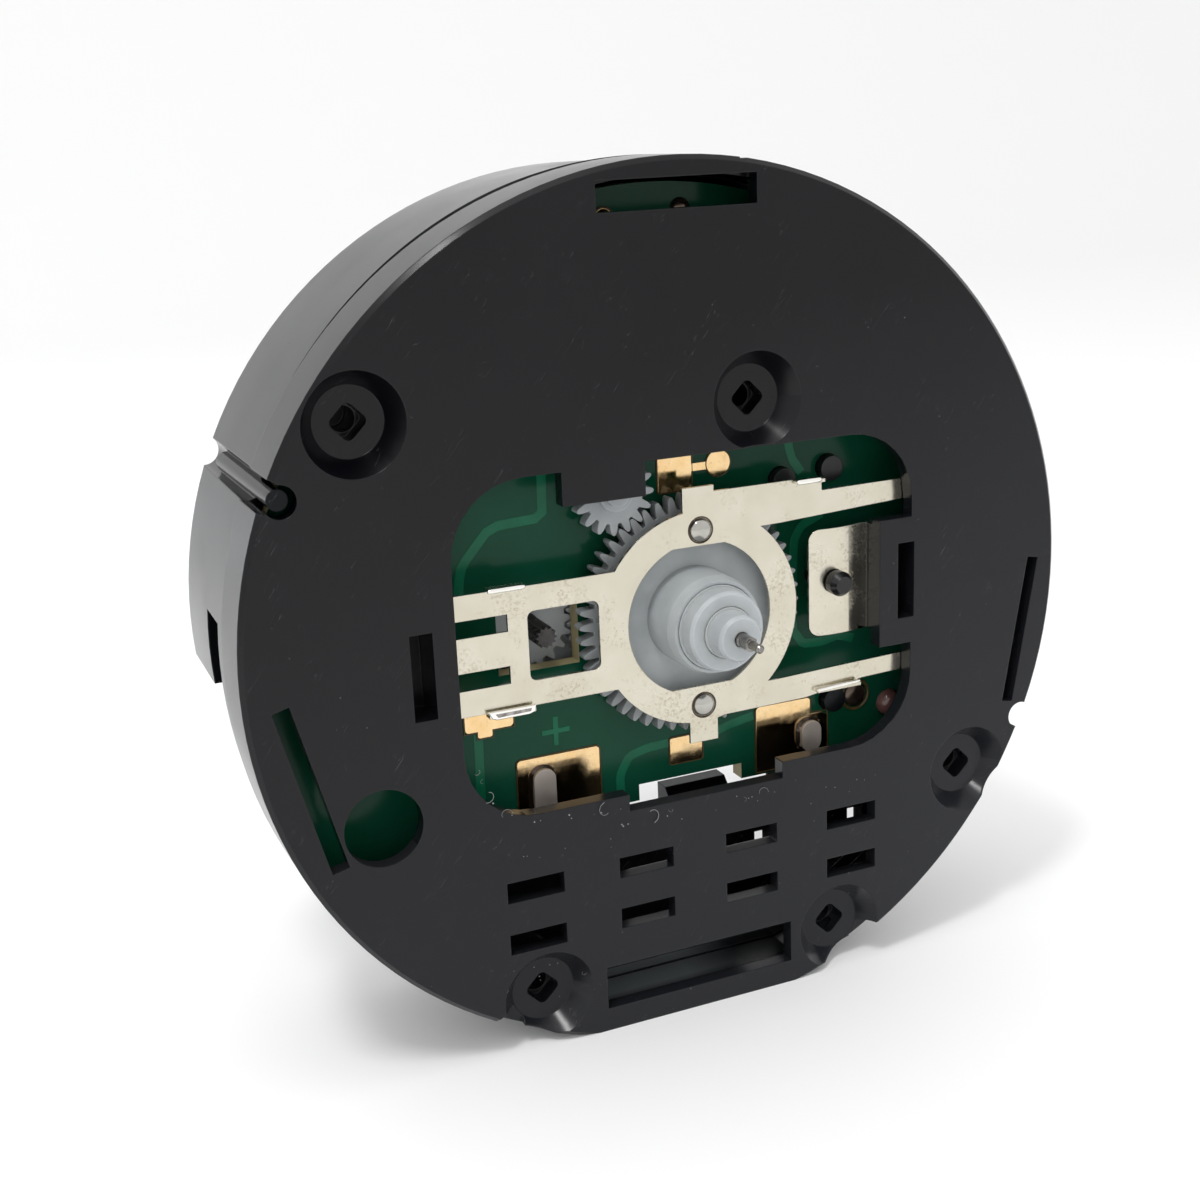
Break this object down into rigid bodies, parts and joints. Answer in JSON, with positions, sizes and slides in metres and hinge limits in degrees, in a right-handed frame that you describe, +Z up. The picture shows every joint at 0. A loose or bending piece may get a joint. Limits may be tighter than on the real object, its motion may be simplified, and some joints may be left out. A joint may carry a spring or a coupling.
{
  "type": "alarm clock movement",
  "caption": "Round quartz clock movement with an alarm: geared hand pipes and seconds pin in front, battery bay, setting knobs and alarm switch behind.",
  "frame": {"origin": "on the hand axis, level with the front face of the plate", "axes": "-Y along the hand axis towards the dial, +X to the right when the dial side is looked at, +Z up"},
  "size_m": [0.075, 0.0347, 0.0733],
  "materials": {
    "front_plate": "satin moulded",
    "rear_housing": "satin moulded",
    "circuit_board": "solder mask",
    "pads": "flat gold",
    "nickel": "nickel plated",
    "black_pins": "moulded",
    "white_gears": "natural acetal",
    "inner_gears": "natural acetal",
    "knobs": "moulded",
    "arbors": "turned",
    "magnet": "sintered",
    "motor_iron": "stamped",
    "winding": "enamelled wire",
    "bridges": "moulded",
    "screws": "zinc plated",
    "contacts": "tin plated",
    "lamp": "clear cast",
    "slider": "moulded"
  },
  "bodies": {
    "case": {"front_plate": "front_plate", "rear_housing": "rear_housing", "circuit_board": "circuit_board", "board_pads": "pads", "alarm_contact_spring": "nickel", "snooze_spring": "nickel", "spring_post": "black_pins", "stator": "motor_iron", "coil_core": "motor_iron", "coil_bobbin": "inner_gears", "coil_winding": "winding", "front_bridge": "bridges", "back_bridge": "bridges", "bridge_screws": "screws", "case_screws": "screws", "positive_contact": "contacts", "negative_contact": "contacts", "battery_spring": "contacts", "quartz_crystal": "contacts", "chip_cover": "black_pins", "buzzer": "black_pins", "dial_lamp": "lamp"},
    "alarm_hand_wheel": {"alarm_wheel": "white_gears"},
    "alarm_setting": {"alarm_setting_wheel": "white_gears", "alarm_knob": "knobs"},
    "hour_hand_wheel": {"hour_wheel": "white_gears"},
    "minute_hand_pipe": {"minute_pipe": "white_gears"},
    "time_setting": {"motion_wheel": "white_gears", "setting_arbor": "arbors", "time_knob": "knobs"},
    "minute_drive": {"minute_gear": "inner_gears"},
    "third": {"third_wheel": "inner_gears", "third_arbor": "arbors"},
    "seconds_hand_arbor": {"seconds_wheel": "inner_gears", "seconds_arbor": "arbors"},
    "intermediate": {"intermediate_wheel": "inner_gears", "intermediate_arbor": "arbors"},
    "rotor": {"rotor_pinion": "inner_gears", "rotor_magnet": "magnet"},
    "alarm_switch": {"alarm_switch_slider": "slider"}
  },
  "joints": [
    {"name": "alarm_turn", "type": "hinge", "parent": "case", "child": "alarm_hand_wheel", "pos_m": [0, 0, 0], "axis": [0, 1, 0], "continuous": true},
    {"name": "alarm_knob_turn", "type": "hinge", "parent": "case", "child": "alarm_setting", "pos_m": [-0.0068, 0, 0.01131], "axis": [0, 1, 0], "continuous": true},
    {"name": "time_knob_turn", "type": "hinge", "parent": "case", "child": "time_setting", "pos_m": [-0.0136, 0, 0.00019], "axis": [0, 1, 0], "continuous": true},
    {"name": "hour_turn", "type": "hinge", "parent": "case", "child": "hour_hand_wheel", "pos_m": [0, 0, 0], "axis": [0, 1, 0], "continuous": true},
    {"name": "minute_turn", "type": "hinge", "parent": "case", "child": "minute_hand_pipe", "pos_m": [0, 0, 0], "axis": [0, 1, 0], "continuous": true},
    {"name": "rotor_turn", "type": "hinge", "parent": "case", "child": "rotor", "pos_m": [0.01247, 0, 0.0002], "axis": [0, 1, 0], "continuous": true},
    {"name": "intermediate_turn", "type": "hinge", "parent": "case", "child": "intermediate", "pos_m": [0.00714, 0, -0.00315], "axis": [0, 1, 0], "continuous": true},
    {"name": "seconds_turn", "type": "hinge", "parent": "case", "child": "seconds_hand_arbor", "pos_m": [0, 0, 0], "axis": [0, 1, 0], "continuous": true},
    {"name": "third_turn", "type": "hinge", "parent": "case", "child": "third", "pos_m": [0.0038, 0, 0.00658], "axis": [0, 1, 0], "continuous": true},
    {"name": "minute_drive_turn", "type": "hinge", "parent": "case", "child": "minute_drive", "pos_m": [0, 0, 0], "axis": [0, 1, 0], "continuous": true},
    {"name": "alarm_switch_slide", "type": "slide", "parent": "case", "child": "alarm_switch", "axis": [1, 0, 0], "range_m": [0, 0.0035]}
  ],
  "couplings": [
    {"joint": "alarm_knob_turn", "follows": "alarm_turn", "ratio": -3.125},
    {"joint": "minute_turn", "follows": "time_knob_turn", "ratio": -5},
    {"joint": "hour_turn", "follows": "time_knob_turn", "ratio": -0.41667},
    {"joint": "intermediate_turn", "follows": "rotor_turn", "ratio": -0.16667},
    {"joint": "seconds_turn", "follows": "rotor_turn", "ratio": 0.033333},
    {"joint": "third_turn", "follows": "rotor_turn", "ratio": -0.0044444},
    {"joint": "minute_drive_turn", "follows": "rotor_turn", "ratio": 0.00055556}
  ]
}
